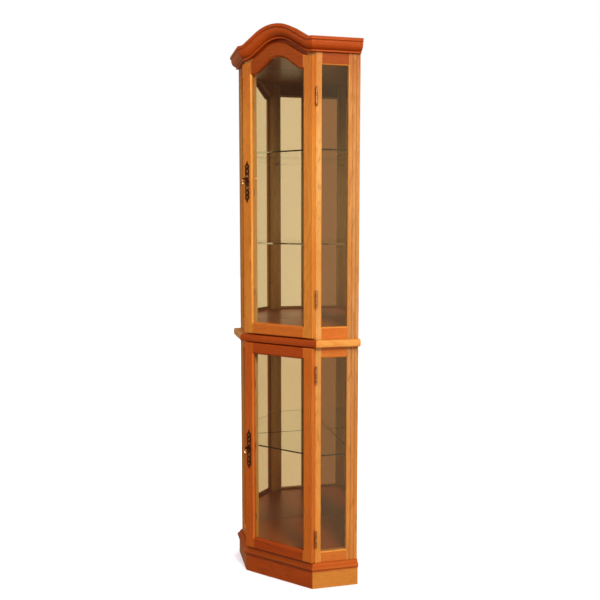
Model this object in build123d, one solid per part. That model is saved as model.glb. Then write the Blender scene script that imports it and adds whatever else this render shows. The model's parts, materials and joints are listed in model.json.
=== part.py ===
"""Corner china cabinet: an oak case with glass sides, a mirrored back and two glazed doors.

Millimetres, +Z up. The front faces -Y and the doors hang on the +X side. The case's plan is a
square with its front corner cut off: a front, two side frames at 45 degrees and two back walls.
Pieces are placed on three faces of the case, each a plane with (along, height, outward) axes.
The origin is under the middle of the whole cabinet, on the floor.
"""
from build123d import *
import os
from math import atan2, cos, radians, sin, tan

# ---- driving sizes ----
FRONT_W = 282.0          # front of the case, between the two corner edges
SIDE_W = 150.0           # a side frame, from the corner edge to the wall
CORNER_TOP = 1850.0      # top of the crown at its corners
WAIST_Z = 842.0          # underside of the waist moulding
FRAME_T = 18.0           # thickness of posts, side rails and face rails

# plinth and its cap moulding
PLINTH_H = 60.0
PLINTH_T = 25.0
PLINTH_PROUD = 11.0      # from the side frame's face
PLINTH_STEP = 6.0        # how much further the front stands out than the sides
CAP_H = 28.0
CAP_NOSE = 8.0           # nose beyond the plinth

PLINTH_BACK_T = 18.0     # the two boards under the back panels

# decks
DECK_T = 18.0
FLOOR_UP = 30.0          # lower floor above the base cap
MID_FLOOR_UP = 31.0      # upper floor above the waist moulding
ROOF_DROP = 35.0         # ceiling below the crown's corners
CASE_DROP = 5.0          # posts, side frames and back panels below the crown's corners

# side frames
SIDE_STILE = 20.0        # front post's leg along the side
REAR_POST_W = 40.0
SIDE_BOTTOM_RAIL = 38.0  # shown above the base cap
SIDE_UNDER_WAIST = 39.0  # waist rail shown under the waist moulding
SIDE_OVER_WAIST = 41.0   # waist rail shown over it
SIDE_TOP_RAIL = 39.0     # shown under the crown
FACE_UNDER_WAIST = 30.0  # face rail below the waist moulding
POST_FACE_W = 34.0       # front post's leg along the front
REED_DEPTH = 1.8
REED_W = 4.0
REEDS = (14.0, 27.0)     # groove centres, from the rear post's glass edge

# side glazing
SIDE_LIP_T = 8.0         # thickness of the lip in front of the glass
SIDE_REBATE = 7.0
SIDE_CHAMFER = 4.0
SIDE_GLASS_T = 4.0
GLASS_PLAY = 1.0         # gap round a pane in its rebate

# back
BACK_T = 6.0
MIRROR_T = 4.0

# waist moulding
WAIST_H = 25.0
WAIST_PROUD = 26.0
WAIST_STEP = -4.0        # how much further the front stands out than the sides

# crown
CROWN_H = 44.0
CROWN_PROUD = 31.0
CROWN_STEP = 8.0
ARCH_RISE = 55.0
ARCH_FLAT = 4.0          # level part of the crown's top edge, inside each corner edge
ARCH_FULLNESS = 0.73     # slope of the shoulders, as a share of the steepest that fits
ARCH_R_FOOT = 30.0
FRIEZE_SINK = 5.0        # frieze below the crown's top edge
FRIEZE_REVEAL = 5.0      # frieze set back from the door's opening

# doors
DOOR_T = 19.0
DOOR_STANDOFF = 1.2      # between the case front and a door's back
DOOR_SIDE_INSET = 1.0    # door edge inside the corner edge
STILE_W = 38.0           # from the outer edge to the sight edge
RAIL_W = 39.0
STICKING = 5.0           # chamfer round the opening
DOOR_ROUND = 3.0
DOOR_REBATE = 8.0        # rebate's width
DOOR_REBATE_DEEP = 7.0   # from the door's back to the glass
DOOR_GLASS_T = 3.0
LOWER_DOOR_GAP = 4.0     # cap to lower door
LOWER_TOP_GAP = 3.5      # lower door to waist
UPPER_DOOR_GAP = 5.0     # waist to upper door
CROWN_DOOR_GAP = 14.0    # upper door to crown, all along the arch
SHOULDER_W = 34.0        # upper door's top rail, from its shoulder to the foot of the opening's arch
OPENING_RISE = 48.0
OPENING_FLAT = 4.0
OPENING_FULLNESS = 0.688
OPENING_R_FOOT = 20.0

# shelves
UPPER_SHELF_UP = 602.0   # shelf tops above the floor of their compartment
MIDDLE_SHELF_UP = 290.0
LOWER_SHELF_UP = 345.0
SHELF_T = 5.0
SHELF_GAP = 2.0
PIN_R = 2.5
PIN_IN = 8.0
PIN_OUT = 9.0

# hinges
HINGE_L = 54.0
KNUCKLES = 5
BARREL_R = 4.0
PIN_CORE_R = 1.8
PIN_PLAY = 0.05
KNUCKLE_GAP = 0.3
LEAF_T = 1.0
LEAF_W = 18.0
DOOR_LEAF_T = 1.0
LEAF_PLAY = 0.2
BUTTON_L = 4.0
BARREL_OFF_EDGE = 1.6    # door edge to barrel
UPPER_HINGE_INSETS = (130.0, 127.0)   # middle of a hinge from the bottom and from the shoulder
LOWER_HINGE_INSETS = (81.0, 93.0)     # from the bottom and from the top

# handles
PLATE_L = 142.0
PLATE_T = 2.5
PLATE_SPINE_W = 14.0
PLATE_LOBES = ((0.0, 9.0), (19.5, 8.6), (36.0, 8.6), (52.5, 8.4))         # (from the middle, radius)
PLATE_PIERCINGS = ((0.0, 19.5, 3.8), (0.0, 36.0, 1.9), (-4.6, 29.0, 1.8), (4.6, 29.0, 1.8),
                   (-4.6, 43.0, 1.8), (4.6, 43.0, 1.8))                   # (across, along, radius)
PLATE_NOTCH_R = 2.4      # nicks between the lobes
SCREW_ALONG = 52.5
SCREW_R = 3.4
SCREW_RISE = 1.6
UPPER_HANDLE_UP = 524.0  # middle of the plate above the door's underside
LOWER_HANDLE_UP = 363.0
BOSS_R = 5.2
BOSS_T = 4.0
PIVOT_RISE = 10.0        # pivot above the plate's centre
PIVOT_OUT = 26.0         # pivot from the plate's back
STEM_R = 3.0
CHEEK_T = 1.8
EYE_W = 4.0
EYE_PLAY = 0.3
EYE_R = 4.2
DROP_PIN_R = 1.5
DROP_L = 25.0
DROP_R = 6.0

# catches and glass clips
CATCH = (38.0, 12.0, 11.0)
CATCH_X = -70.0
CATCH_COVER = 3.0        # deck top to catch
CATCH_PLAY = 0.2
STRIKE = (26.0, 0.8, 9.0)
CLIP_L = 24.0
CLIP_T = 3.0
CLIP_PLAY = 0.5

# ---- worked out ----
ANGLE = radians(45)       # set by the room's square corner
EDGE_X = FRONT_W / 2
ALONG = (cos(ANGLE), sin(ANGLE))
OUTWARD = (sin(ANGLE), -cos(ANGLE))
MITRE = tan(ANGLE / 2)
WALL_X = EDGE_X + SIDE_W * ALONG[0]
WALL_Y = SIDE_W * ALONG[1]
WALL_L = WALL_X / sin(ANGLE)
DOOR_W = FRONT_W - 2 * DOOR_SIDE_INSET
DOOR_FACE = DOOR_STANDOFF + DOOR_T
SIGHT_X = DOOR_W / 2 - STILE_W
BASE_TOP = PLINTH_H + CAP_H
WAIST_TOP = WAIST_Z + WAIST_H
FLOOR_TOP = BASE_TOP + FLOOR_UP
MID_TOP = WAIST_TOP + MID_FLOOR_UP
ROOF_UNDER = CORNER_TOP - ROOF_DROP
CASE_TOP = CORNER_TOP - CASE_DROP
SIDE_WAIST_RAIL = (WAIST_Z - SIDE_UNDER_WAIST, WAIST_TOP + SIDE_OVER_WAIST)
SIDE_TOP_RAIL_UNDER = CORNER_TOP - CROWN_H - SIDE_TOP_RAIL
DOOR_DROP = CROWN_H + CROWN_DOOR_GAP
OPENING_FOOT = CORNER_TOP - DOOR_DROP - SHOULDER_W
ARCH_SPAN = EDGE_X - ARCH_FLAT
OPENING_SPAN = SIGHT_X - OPENING_FLAT
GLASS_DEPTH = DOOR_T - DOOR_REBATE_DEEP
LOWER_DOOR = (BASE_TOP + LOWER_DOOR_GAP, WAIST_Z - LOWER_TOP_GAP)
UPPER_DOOR_UNDER = WAIST_TOP + UPPER_DOOR_GAP
SHELF_TOPS = {"upper_glass_shelf": MID_TOP + UPPER_SHELF_UP,
              "middle_glass_shelf": MID_TOP + MIDDLE_SHELF_UP,
              "lower_glass_shelf": FLOOR_TOP + LOWER_SHELF_UP}
HANDLE_X = -(DOOR_W / 2 - STILE_W / 2)
HINGE_X = DOOR_W / 2 + BARREL_OFF_EDGE + BARREL_R
HINGE_OUT = BARREL_R
BACK_Y = WALL_Y + WALL_X / tan(ANGLE)
FRONT_REACH = DOOR_FACE + PIVOT_OUT + DROP_R

FRONT = Plane(origin=(0, 0, 0), x_dir=(1, 0, 0), z_dir=(0, -1, 0))
SIDE = Plane(origin=(EDGE_X, 0, 0), x_dir=(*ALONG, 0), z_dir=(*OUTWARD, 0))
WALL = Plane(origin=(WALL_X, WALL_Y, 0), x_dir=(-ALONG[1], ALONG[0], 0), z_dir=(*ALONG, 0))
TO_ORIGIN = Location((0, (FRONT_REACH - BACK_Y) / 2, 0))


# ---- helpers ----
def board(face, along, height, out):
    """A box on one face of the case, from three (low, high) pairs."""
    size = [high - low for low, high in (along, height, out)]
    centre = [(high + low) / 2 for low, high in (along, height, out)]
    return face * (Pos(*centre) * Box(*size))


def prism(points, low, high):
    """An upright solid on a plan outline."""
    outline = make_face(Polyline(*points, close=True))
    return Pos(0, 0, low) * extrude(outline, amount=high - low)


def left_hand(shape):
    return mirror(shape, about=Plane.YZ)


def on_side(along, out):
    """Plan point on the right side frame."""
    return (EDGE_X + along * ALONG[0] + out * OUTWARD[0], along * ALONG[1] + out * OUTWARD[1])


def inside_plan(front, side, back):
    """Plan outline inside the case, inset from the front, the side frames and the walls."""
    corner_x = EDGE_X - (side - front * cos(ANGLE)) / sin(ANGLE)
    shoulder = on_side(SIDE_W - back, -side)
    rear_y = BACK_Y - back / sin(ANGLE)
    half = [(corner_x, front), shoulder]
    return half + [(0, rear_y)] + [(-x, y) for x, y in reversed(half)]


def arch_shape(rise, span, fullness):
    """Slope of an arch's straight shoulders, and the sum of its top and foot radii."""
    slope = 2 * fullness * atan2(rise, span)
    return slope, (span * sin(slope) - rise * cos(slope)) / (1 - cos(slope))


def arch_lines(foot, rise, span, fullness, r_foot, half_width):
    """An arch in the front plane: flat feet, hollow shoulders and a round top."""
    slope, both = arch_shape(rise, span, fullness)
    r_top = both - r_foot
    crown_point = (0, foot + rise)
    top = (r_top * sin(slope), foot + rise - r_top * (1 - cos(slope)))
    low = (span - r_foot * sin(slope), foot + r_foot * (1 - cos(slope)))
    hollow = (span - r_foot * sin(slope / 2), foot + r_foot * (1 - cos(slope / 2)))

    def flip(point):
        return (-point[0], point[1])

    end, toe = (half_width, foot), (span, foot)
    return [Line(flip(end), flip(toe)), ThreePointArc(flip(toe), flip(hollow), flip(low)),
            Line(flip(low), flip(top)), ThreePointArc(flip(top), crown_point, top),
            Line(top, low), ThreePointArc(low, hollow, toe), Line(toe, end)]


def arched_face(lines, under, half_width, depth):
    """A face in the front plane below an arch, at a distance out from the case."""
    foot = lines[-1].position_at(1).Y
    sides = [Line((half_width, foot), (half_width, under)), Line((half_width, under), (-half_width, under)),
             Line((-half_width, under), (-half_width, foot))]
    return Plane(FRONT.location * Pos(0, 0, depth)) * make_face(lines + sides)


def rectangle_face(half_width, under, top, depth):
    corners = [(-half_width, under), (half_width, under), (half_width, top), (-half_width, top)]
    return Plane(FRONT.location * Pos(0, 0, depth)) * make_face(Polyline(*corners, close=True))


# ---- mouldings ----
def cap_profile(step):
    """Base cap from its top edge down: a ledge, a quirk, an ogee out to a low nose and a fillet."""
    nose = PLINTH_PROUD + step + CAP_NOSE
    crest, hollow, middle, swell, nose_z, chin, foot = (
        CAP_H * share for share in (0.93, 0.80, 0.69, 0.55, 0.40, 0.24, 0.2))
    return [Line((-step, CAP_H), (nose - 14, CAP_H)), Line((nose - 14, CAP_H), (nose - 13, crest)),
            ThreePointArc((nose - 13, crest), (nose - 10.8, hollow), (nose - 7.5, middle)),
            ThreePointArc((nose - 7.5, middle), (nose - 2.2, swell), (nose, nose_z)),
            ThreePointArc((nose, nose_z), (nose - 0.8, (nose_z + chin) / 2), (nose - 3, chin)),
            ThreePointArc((nose - 3, chin), (nose - 5, foot), (nose - 6, 0))]


def waist_profile(step):
    """Waist moulding from its top edge down: a broad band with both edges well rounded."""
    nose = WAIST_PROUD + step
    shoulder, brow, swell, jaw, chin = (WAIST_H * share for share in (0.93, 0.78, 0.5, 0.2, 0.06))
    return [Line((0, WAIST_H), (nose - 5, WAIST_H)),
            ThreePointArc((nose - 5, WAIST_H), (nose - 2.1, shoulder), (nose - 0.6, brow)),
            ThreePointArc((nose - 0.6, brow), (nose, swell), (nose - 0.8, jaw)),
            ThreePointArc((nose - 0.8, jaw), (nose - 2.2, chin), (nose - 5, 0))]


def crown_profile(step):
    """Crown from its top edge down: a band, a quirk, a broad ovolo and a fillet."""
    nose = CROWN_PROUD + step
    band, quirk, brow, ovolo, chin, lip = (-CROWN_H * share for share in (0.23, 0.27, 0.34, 0.68, 0.86, 0.89))
    return [Line((0, 0), (nose - 2, 0)), ThreePointArc((nose - 2, 0), (nose - 0.6, -0.6), (nose, -2)),
            Line((nose, -2), (nose, band)), Line((nose, band), (nose - 4, quirk)),
            Line((nose - 4, quirk), (nose - 4, brow)),
            ThreePointArc((nose - 4, brow), (nose - 9, ovolo), (nose - 23, chin)),
            Line((nose - 23, chin), (nose - 21, lip)), Line((nose - 21, lip), (nose - 21, -CROWN_H))]


def profile_face(chain, back):
    top, bottom = chain[0].position_at(0), chain[-1].position_at(1)
    closing = [Line((bottom.X, bottom.Y), (back, bottom.Y)), Line((back, bottom.Y), (back, top.Y))]
    if top.X != back:
        closing.append(Line((back, top.Y), (top.X, top.Y)))
    return make_face(chain + closing)


def mitre_points(step, reach):
    """Inner and outer plan points of the mitre at the right front corner."""
    inner = (EDGE_X - step, -step)
    return inner, (inner[0] + reach * MITRE, inner[1] - reach)


def side_moulding(chain, back, z, step, reach, heel):
    """A straight moulding along the right side frame, mitred to the front one."""
    lead = reach + SIDE_STILE
    cross = Plane(origin=(*on_side(SIDE_W, 0), z), x_dir=(*OUTWARD, 0), z_dir=(-ALONG[0], -ALONG[1], 0))
    bar = extrude(cross * profile_face(chain, back), amount=SIDE_W + lead)
    inner, outer = mitre_points(step, reach)
    plan = [inner, outer, on_side(SIDE_W, reach * 2), on_side(SIDE_W, back)] + heel
    return bar & prism(plan, z - CORNER_TOP, z + CORNER_TOP)


def front_plan(step, reach, heel):
    half = [mitre_points(step, reach)[1], mitre_points(step, reach)[0]] + heel
    return half + [(-x, y) for x, y in reversed(half)]


def front_moulding(chain, back, z, step, reach, heel):
    """A straight moulding across the front, mitred at both ends."""
    half = EDGE_X + reach
    cross = Plane(origin=(half, 0, z), x_dir=(0, -1, 0), z_dir=(-1, 0, 0))
    bar = extrude(cross * profile_face(chain, back), amount=2 * half)
    return bar & prism(front_plan(step, reach, heel), z - CORNER_TOP, z + CORNER_TOP)


# ---- base ----
def make_base(out):
    front_back = PLINTH_PROUD + PLINTH_STEP - PLINTH_T
    side_back = PLINTH_PROUD - PLINTH_T
    heel = (EDGE_X - PLINTH_STEP + side_back * MITRE, -front_back)
    reach = PLINTH_PROUD + CAP_NOSE + 1

    plinth_front = [Line((PLINTH_PROUD + PLINTH_STEP, PLINTH_H), (PLINTH_PROUD + PLINTH_STEP, 0))]
    plinth_side = [Line((PLINTH_PROUD, PLINTH_H), (PLINTH_PROUD, 0))]
    out["plinth_front"] = front_moulding(plinth_front, front_back, 0, PLINTH_STEP, reach, [heel])
    out["plinth_right"] = side_moulding(plinth_side, side_back, 0, PLINTH_STEP, reach, [heel])
    out["base_cap_front"] = front_moulding(cap_profile(PLINTH_STEP), front_back, PLINTH_H, PLINTH_STEP,
                                           reach, [heel])
    out["base_cap_right"] = side_moulding(cap_profile(0), side_back, PLINTH_H, PLINTH_STEP, reach, [heel])
    right = board(WALL, (-side_back, WALL_L), (0, BASE_TOP), (-PLINTH_BACK_T, 0))
    left = board(WALL, (-side_back, WALL_L - PLINTH_BACK_T), (0, BASE_TOP), (-PLINTH_BACK_T, 0))
    out["plinth_back"] = Compound(children=[right, left_hand(left)])
    out["plinth_left"] = left_hand(out["plinth_right"])
    out["base_cap_left"] = left_hand(out["base_cap_right"])


# ---- case ----
def side_openings():
    """Glass openings of a side frame: (along, height) ranges."""
    along = (SIDE_STILE, SIDE_W - REAR_POST_W)
    return [(along, (BASE_TOP + SIDE_BOTTOM_RAIL, SIDE_WAIST_RAIL[0])),
            (along, (SIDE_WAIST_RAIL[1], SIDE_TOP_RAIL_UNDER))]


def grown(pair, by):
    return (pair[0] - by, pair[1] + by)


def side_glazing_cut():
    """Rebates and chamfers round the glass openings of the right side frame."""
    cuts = []
    for along, height in side_openings():
        cuts.append(board(SIDE, grown(along, SIDE_REBATE), grown(height, SIDE_REBATE),
                          (-FRAME_T - 1, -SIDE_LIP_T)))
        wide, tall = (high - low + 2 * SIDE_CHAMFER for low, high in (along, height))
        middle = Pos(sum(along) / 2, sum(height) / 2, 0)
        cuts.append(SIDE * (middle * extrude(Rectangle(wide, tall), amount=-SIDE_CHAMFER, taper=45)))
    return cuts


def make_case(out):
    cuts = side_glazing_cut()
    post_plan = inside_plan(FRAME_T, FRAME_T, 0)[0]
    front_post = prism([(EDGE_X - POST_FACE_W, 0), (EDGE_X, 0), on_side(SIDE_STILE, 0),
                        on_side(SIDE_STILE, -FRAME_T), post_plan, (EDGE_X - POST_FACE_W, FRAME_T)],
                       BASE_TOP, CASE_TOP)
    glass_edge = SIDE_W - REAR_POST_W
    rear_post = board(SIDE, (glass_edge, SIDE_W), (BASE_TOP, CASE_TOP), (-FRAME_T, 0))
    for centre in REEDS:
        middle = glass_edge + centre
        groove = prism([on_side(middle - REED_W / 2, 0), on_side(middle, -REED_DEPTH),
                        on_side(middle + REED_W / 2, 0)], BASE_TOP, CASE_TOP)
        rear_post -= groove
    rail_heights = [(BASE_TOP, BASE_TOP + SIDE_BOTTOM_RAIL), SIDE_WAIST_RAIL,
                    (SIDE_TOP_RAIL_UNDER, CASE_TOP)]
    rails = [board(SIDE, (SIDE_STILE, glass_edge), height, (-FRAME_T, 0)) for height in rail_heights]
    rails = Compound(children=[rail - cuts for rail in rails])
    pins = shelf_pins()
    out["front_post_right"] = front_post - cuts - pins
    out["rear_post_right"] = rear_post - cuts - pins
    out["side_rails_right"] = rails
    for name in ("front_post", "rear_post", "side_rails"):
        out[name + "_left"] = left_hand(out[name + "_right"])

    face_half = EDGE_X - POST_FACE_W
    face_heights = [(BASE_TOP, FLOOR_TOP), (WAIST_Z - FACE_UNDER_WAIST, MID_TOP)]
    pockets = catch_bodies(CATCH_PLAY)
    out["face_rails"] = Compound(children=[board(FRONT, (-face_half, face_half), height, (-FRAME_T, 0)) - pocket
                                           for height, pocket in zip(face_heights, pockets)])
    plan = inside_plan(FRAME_T, FRAME_T, BACK_T)
    out["bottom_deck"] = prism(plan, FLOOR_TOP - DECK_T, FLOOR_TOP)
    out["mid_deck"] = prism(plan, MID_TOP - DECK_T, MID_TOP)
    out["roof_panel"] = prism(plan, ROOF_UNDER, ROOF_UNDER + DECK_T)


def make_frieze(out):
    """Arched board behind the upper door's top rail, which carries the front crown."""
    half = EDGE_X - POST_FACE_W
    top = arch_lines(CORNER_TOP - FRIEZE_SINK, ARCH_RISE, ARCH_SPAN, ARCH_FULLNESS, ARCH_R_FOOT, EDGE_X)
    blank = extrude(arched_face(top, OPENING_FOOT + FRIEZE_REVEAL, EDGE_X, -FRAME_T), amount=FRAME_T)
    opening = arch_lines(OPENING_FOOT + FRIEZE_REVEAL, OPENING_RISE, OPENING_SPAN, OPENING_FULLNESS,
                         OPENING_R_FOOT, half)
    hole = extrude(arched_face(opening, OPENING_FOOT - STICKING, half, -FRAME_T - 1), amount=FRAME_T + 2)
    between_posts = board(FRONT, (-half, half), (OPENING_FOOT, CORNER_TOP + ARCH_RISE), (-FRAME_T, 0))
    out["frieze"] = (blank & between_posts) - hole


def make_back(out):
    panel = (FRAME_T, WALL_L)
    height = (BASE_TOP, CASE_TOP)
    out["back_panel_right"] = board(WALL, panel, height, (-BACK_T, 0))
    out["back_panel_left"] = left_hand(board(WALL, (FRAME_T, WALL_L - BACK_T), height, (-BACK_T, 0)))
    mirror_out = (-BACK_T - MIRROR_T, -BACK_T)
    for level, span in (("lower", (FLOOR_TOP, MID_TOP - DECK_T)), ("upper", (MID_TOP, ROOF_UNDER))):
        right = board(WALL, (FRAME_T, WALL_L - BACK_T), span, mirror_out)
        left = board(WALL, (FRAME_T, WALL_L - BACK_T - MIRROR_T), span, mirror_out)
        out[level + "_mirror_right"] = right
        out[level + "_mirror_left"] = left_hand(left)


def make_side_glass(out):
    beads = []
    for level, (along, height) in zip(("lower", "upper"), side_openings()):
        pane_along, pane_height = (grown(pair, SIDE_REBATE - GLASS_PLAY) for pair in (along, height))
        pane = board(SIDE, pane_along, pane_height, (-SIDE_LIP_T - SIDE_GLASS_T, -SIDE_LIP_T))
        out[level + "_side_glass_right"] = pane
        out[level + "_side_glass_left"] = left_hand(pane)
        depth = (-FRAME_T, -SIDE_LIP_T - SIDE_GLASS_T)
        outer_along, outer_height = grown(along, SIDE_REBATE), grown(height, SIDE_REBATE)
        for end in (0, 1):
            strip = sorted((outer_along[end], along[end]))
            beads.append(board(SIDE, strip, outer_height, depth))
            strip = sorted((outer_height[end], height[end]))
            beads.append(board(SIDE, along, strip, depth))
    out["side_glass_beads"] = Compound(children=beads + [left_hand(bead) for bead in beads])


def make_waist(out):
    heel = [(EDGE_X, 0)]
    reach = WAIST_PROUD + 1
    out["waist_front"] = front_moulding(waist_profile(WAIST_STEP), WAIST_STEP, WAIST_Z, WAIST_STEP,
                                        reach, heel)
    out["waist_right"] = side_moulding(waist_profile(0), 0, WAIST_Z, WAIST_STEP, reach, [])
    out["waist_left"] = left_hand(out["waist_right"])


def make_crown(out):
    heel = [(EDGE_X, 0)]
    reach = CROWN_PROUD + 1
    half = EDGE_X + reach
    lines = arch_lines(CORNER_TOP, ARCH_RISE, ARCH_SPAN, ARCH_FULLNESS, ARCH_R_FOOT, half)
    path = FRONT * Wire(lines)
    cross = Plane(origin=(-half, 0, CORNER_TOP), x_dir=(0, -1, 0), z_dir=(-1, 0, 0))
    bar = sweep(cross * profile_face(crown_profile(CROWN_STEP), 0), path=path)
    plan = front_plan(CROWN_STEP, reach, heel)
    out["crown_front"] = bar & prism(plan, 0, 2 * CORNER_TOP)
    out["crown_right"] = side_moulding(crown_profile(0), 0, CORNER_TOP, CROWN_STEP, reach, [])
    out["crown_left"] = left_hand(out["crown_right"])


# ---- shelves ----
def shelf_pins():
    """Support pins on both hands: one in each front post and one in each rear post."""
    pins = []
    rear_along = SIDE_W - REAR_POST_W / 2
    front_x = EDGE_X - POST_FACE_W / 2
    for top in SHELF_TOPS.values():
        z = top - SHELF_T - PIN_R
        pin = extrude(Circle(PIN_R), amount=PIN_IN + PIN_OUT)
        front = Plane(origin=(front_x, FRAME_T - PIN_IN, z), z_dir=(0, 1, 0)) * pin
        rear_start = on_side(rear_along, -FRAME_T + PIN_IN)
        rear = Plane(origin=(*rear_start, z), z_dir=(-OUTWARD[0], -OUTWARD[1], 0)) * pin
        pins += [front, rear]
    return pins


def make_shelves(out):
    inset = FRAME_T + SHELF_GAP
    plan = inside_plan(inset, inset, BACK_T + MIRROR_T + SHELF_GAP)
    for name, top in SHELF_TOPS.items():
        out[name] = prism(plan, top - SHELF_T, top)
    pins = shelf_pins()
    out["shelf_pins"] = Compound(children=pins + [left_hand(pin) for pin in pins])


# ---- doors ----
def upper_outline(half, under, grow, depth):
    """The upper opening, made larger all round by grow, as a face at a depth from the door face."""
    lines = arch_lines(OPENING_FOOT - STICKING + grow, OPENING_RISE, OPENING_SPAN, OPENING_FULLNESS,
                       OPENING_R_FOOT + STICKING - grow, half + grow)
    return arched_face(lines, under - grow, half + grow, DOOR_FACE - depth)


def door_outlines(level):
    """(blank face at the door's back, function giving the opening at a growth and depth, heights)."""
    if level == "lower":
        under, top = LOWER_DOOR
        blank = rectangle_face(DOOR_W / 2, under, top, DOOR_STANDOFF)

        def opening(grow, depth):
            return rectangle_face(SIGHT_X + grow, under + RAIL_W - grow, top - RAIL_W + grow,
                                  DOOR_FACE - depth)
        return blank, opening, (under, top)
    under = UPPER_DOOR_UNDER
    lines = arch_lines(CORNER_TOP - DOOR_DROP, ARCH_RISE, ARCH_SPAN, ARCH_FULLNESS,
                       ARCH_R_FOOT + DOOR_DROP, DOOR_W / 2)
    blank = arched_face(lines, under, DOOR_W / 2, DOOR_STANDOFF)

    def opening(grow, depth):
        return upper_outline(SIGHT_X, under + RAIL_W, grow, depth)
    return blank, opening, (under, CORNER_TOP + ARCH_RISE - DOOR_DROP)


def hinge_heights(level):
    if level == "lower":
        return LOWER_DOOR[0] + LOWER_HINGE_INSETS[0], LOWER_DOOR[1] - LOWER_HINGE_INSETS[1]
    return UPPER_DOOR_UNDER + UPPER_HINGE_INSETS[0], CORNER_TOP - DOOR_DROP - UPPER_HINGE_INSETS[1]


def leaf_slot(z):
    """Recess for a hinge leaf in the door's back."""
    depth = LEAF_T + LEAF_PLAY + DOOR_LEAF_T
    return board(FRONT, (DOOR_W / 2 - LEAF_W, DOOR_W / 2 + 1), grown((z, z), HINGE_L / 2),
                 (DOOR_STANDOFF - 1, depth))


def make_door(out, level):
    blank_face, opening, (under, top) = door_outlines(level)
    blank = extrude(blank_face, amount=DOOR_T)
    outer = [edge for edge in blank.edges() if abs(edge.center().Y + DOOR_FACE) < 0.01]
    blank = fillet(outer, radius=DOOR_ROUND)
    sticking = loft([opening(STICKING, 0), opening(0, STICKING)], ruled=True)
    through = extrude(opening(0, GLASS_DEPTH), amount=GLASS_DEPTH)
    rebate = extrude(opening(DOOR_REBATE, DOOR_T + 1), amount=DOOR_T + 1 - GLASS_DEPTH)
    frame = blank - sticking - through - rebate
    frame -= [leaf_slot(z) for z in hinge_heights(level)]

    depth = (0, DOOR_FACE + 1)
    middle = (under + top) / 2
    cells = {"stile_left": ((-DOOR_W, -SIGHT_X), (0, CORNER_TOP + ARCH_RISE)),
             "stile_right": ((SIGHT_X, DOOR_W), (0, CORNER_TOP + ARCH_RISE)),
             "top_rail": ((-SIGHT_X, SIGHT_X), (middle, top + 1)),
             "bottom_rail": ((-SIGHT_X, SIGHT_X), (under - 1, middle))}
    for name, (along, height) in cells.items():
        out[f"{level}_door_{name}"] = frame & board(FRONT, along, height, depth)

    pane = opening(DOOR_REBATE - GLASS_PLAY, GLASS_DEPTH + DOOR_GLASS_T)
    out[f"{level}_door_glass"] = extrude(pane, amount=DOOR_GLASS_T)
    out[f"{level}_door_fittings"] = door_fittings(level, under, top)


def door_fittings(level, under, top):
    """Clips that hold the pane in its rebate, and the steel plate for the catch."""
    back = (DOOR_FACE - GLASS_DEPTH - DOOR_GLASS_T - CLIP_T, DOOR_FACE - GLASS_DEPTH - DOOR_GLASS_T)
    low = SIGHT_X + CLIP_PLAY
    stile = (low, SIGHT_X + DOOR_REBATE - CLIP_PLAY)
    pieces = []
    length = top - under
    for share in (0.15, 0.5, 0.8):
        z = under + share * length
        clip = board(FRONT, stile, grown((z, z), CLIP_L / 2), back)
        pieces += [clip, left_hand(clip)]
    rail = (under + RAIL_W - DOOR_REBATE + CLIP_PLAY, under + RAIL_W - CLIP_PLAY)
    for x in (-SIGHT_X / 2, SIGHT_X / 2):
        pieces.append(board(FRONT, grown((x, x), CLIP_L / 2), rail, back))
    width, thick, tall = STRIKE
    strike_z = catch_z(FLOOR_TOP if level == "lower" else MID_TOP)
    pieces.append(board(FRONT, grown((CATCH_X, CATCH_X), width / 2), grown((strike_z, strike_z), tall / 2),
                        (DOOR_STANDOFF - thick, DOOR_STANDOFF)))
    return Compound(children=pieces)


# ---- hinges ----
def barrel(z, index):
    """One knuckle of a hinge, bored for the pin."""
    length = HINGE_L / KNUCKLES
    low = z - HINGE_L / 2 + index * length + KNUCKLE_GAP / 2
    return Pos(HINGE_X, -HINGE_OUT, low) * extrude(Circle(BARREL_R), amount=length - KNUCKLE_GAP)


def hinge_leaf(z, knuckles, out_range):
    """A leaf with its knuckles; out_range is where its plate lies, out from the case front."""
    bore = Pos(HINGE_X, -HINGE_OUT, z - HINGE_L) * extrude(Circle(PIN_CORE_R + PIN_PLAY), amount=2 * HINGE_L)
    leaf = board(FRONT, (DOOR_W / 2 - LEAF_W, DOOR_W / 2), grown((z, z), HINGE_L / 2 - KNUCKLE_GAP), out_range)
    for index in knuckles:
        knuckle = barrel(z, index)
        low, high = knuckle.bounding_box().min.Z, knuckle.bounding_box().max.Z
        leaf += knuckle + board(FRONT, (DOOR_W / 2 - 1, HINGE_X), (low, high), out_range)
    return leaf - bore


def hinge_pin(z):
    """Pin with a turned button at each end."""
    core = Pos(HINGE_X, -HINGE_OUT, z - HINGE_L / 2) * extrude(Circle(PIN_CORE_R), amount=HINGE_L)
    end = HINGE_L / 2
    neck, brim = end + BUTTON_L * 0.25, end + BUTTON_L * 0.5
    shape = Polyline((0, end), (BARREL_R * 0.6, end), (BARREL_R * 0.6, neck), (BARREL_R * 0.85, brim),
                     (BARREL_R * 0.55, end + BUTTON_L * 0.9), (0, end + BUTTON_L), close=True)
    button = revolve(Plane.XZ * make_face(shape), axis=Axis.Z)
    pair = button + mirror(button, about=Plane.XY)
    return core + Pos(HINGE_X, -HINGE_OUT, z) * pair


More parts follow.
